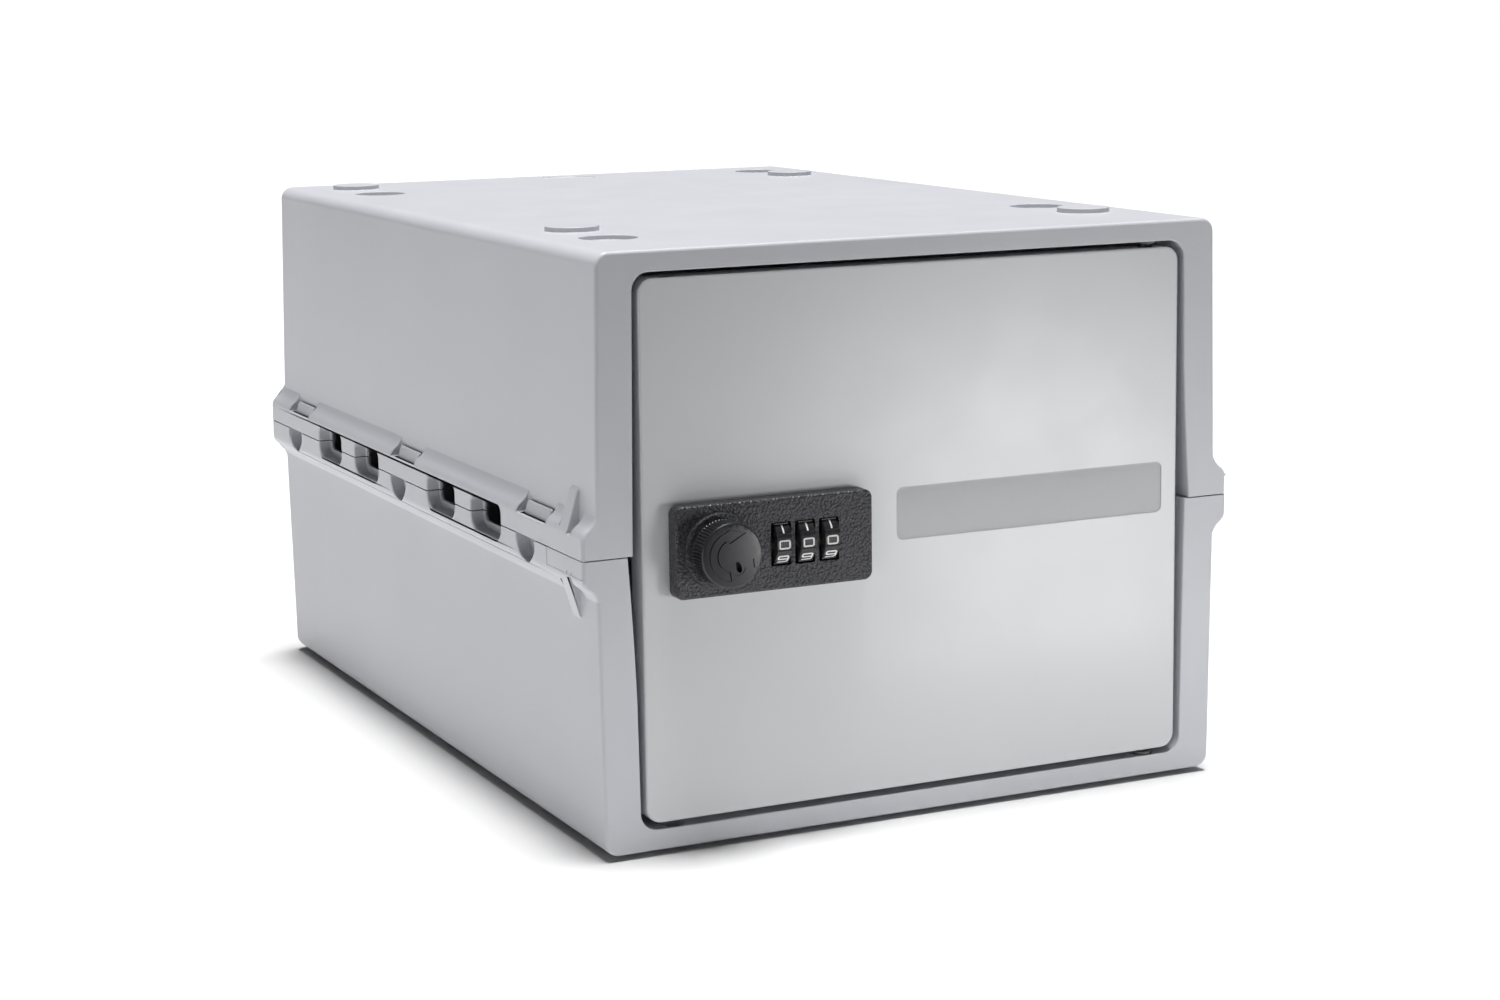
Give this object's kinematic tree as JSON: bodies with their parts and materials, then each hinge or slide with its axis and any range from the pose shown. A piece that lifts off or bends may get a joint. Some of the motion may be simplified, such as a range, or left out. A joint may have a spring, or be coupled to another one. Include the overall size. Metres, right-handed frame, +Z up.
{
  "type": "lockable storage box",
  "caption": "Light grey moulded box of two snapped half shells, with a flush hinged front door and a black dial combination cam lock.",
  "frame": {"origin": "on the ground under the middle of the whole box, knob included", "axes": "+X to the right as seen from the door, +Y from the door to the back, +Z up"},
  "size_m": [0.2106, 0.309, 0.171],
  "materials": {
    "shell_plastic": "light grey, fine satin moulding",
    "door_plastic": "light grey, smooth satin moulding",
    "lock_black": "black, fine cast texture",
    "knob_black": "black satin, ribbed side",
    "dial_black": "black with white digits",
    "steel": "zinc plated",
    "brass": "machined",
    "bush_plastic": "natural acetal"
  },
  "bodies": {
    "box": {"upper_shell": "shell_plastic", "lower_shell": "shell_plastic", "hinge_bush_upper": "bush_plastic", "hinge_bush_lower": "bush_plastic"},
    "door": {"door_panel": "door_plastic", "hinge_pin_upper": "steel", "hinge_pin_lower": "steel", "lock_faceplate": "lock_black", "lock_housing": "lock_black", "dial_axle": "steel", "detent_spring": "steel", "housing_screw_left": "steel", "housing_screw_right": "steel"},
    "dial_left": {"dial_left": "dial_black", "dial_sleeve_left": "brass"},
    "dial_middle": {"dial_middle": "dial_black", "dial_sleeve_middle": "brass"},
    "dial_right": {"dial_right": "dial_black", "dial_sleeve_right": "brass"},
    "knob": {"knob": "knob_black", "knob_spindle": "steel", "cam_tongue": "steel", "cam_washer": "steel", "cam_screw": "steel"},
    "fence": {"locking_fence": "steel"},
    "code_lever": {"code_change_lever": "brass"}
  },
  "joints": [
    {"name": "door_hinge", "type": "hinge", "parent": "box", "child": "door", "pos_m": [0.078, -0.1365, 0.0855], "axis": [0, 0, 1], "range_deg": [0, 125]},
    {"name": "knob_turn", "type": "hinge", "parent": "door", "child": "knob", "pos_m": [-0.0666, -0.1455, 0.0859], "axis": [0, -1, 0], "range_deg": [0, 90]},
    {"name": "dial_left_turn", "type": "hinge", "parent": "door", "child": "dial_left", "pos_m": [-0.0472, -0.14, 0.0859], "axis": [1, 0, 0], "continuous": true},
    {"name": "dial_middle_turn", "type": "hinge", "parent": "door", "child": "dial_middle", "pos_m": [-0.0397, -0.14, 0.0859], "axis": [1, 0, 0], "continuous": true},
    {"name": "dial_right_turn", "type": "hinge", "parent": "door", "child": "dial_right", "pos_m": [-0.0322, -0.14, 0.0859], "axis": [1, 0, 0], "continuous": true},
    {"name": "fence_slide", "type": "slide", "parent": "door", "child": "fence", "axis": [0, 1, 0], "range_m": [0, 0.0012]},
    {"name": "code_lever_turn", "type": "hinge", "parent": "door", "child": "code_lever", "pos_m": [-0.0397, -0.126, 0.0859], "axis": [0, 1, 0], "range_deg": [0, 90]}
  ],
  "couplings": [
    {"joint": "fence_slide", "follows": "knob_turn", "m_per_rad": 0.00076394}
  ]
}
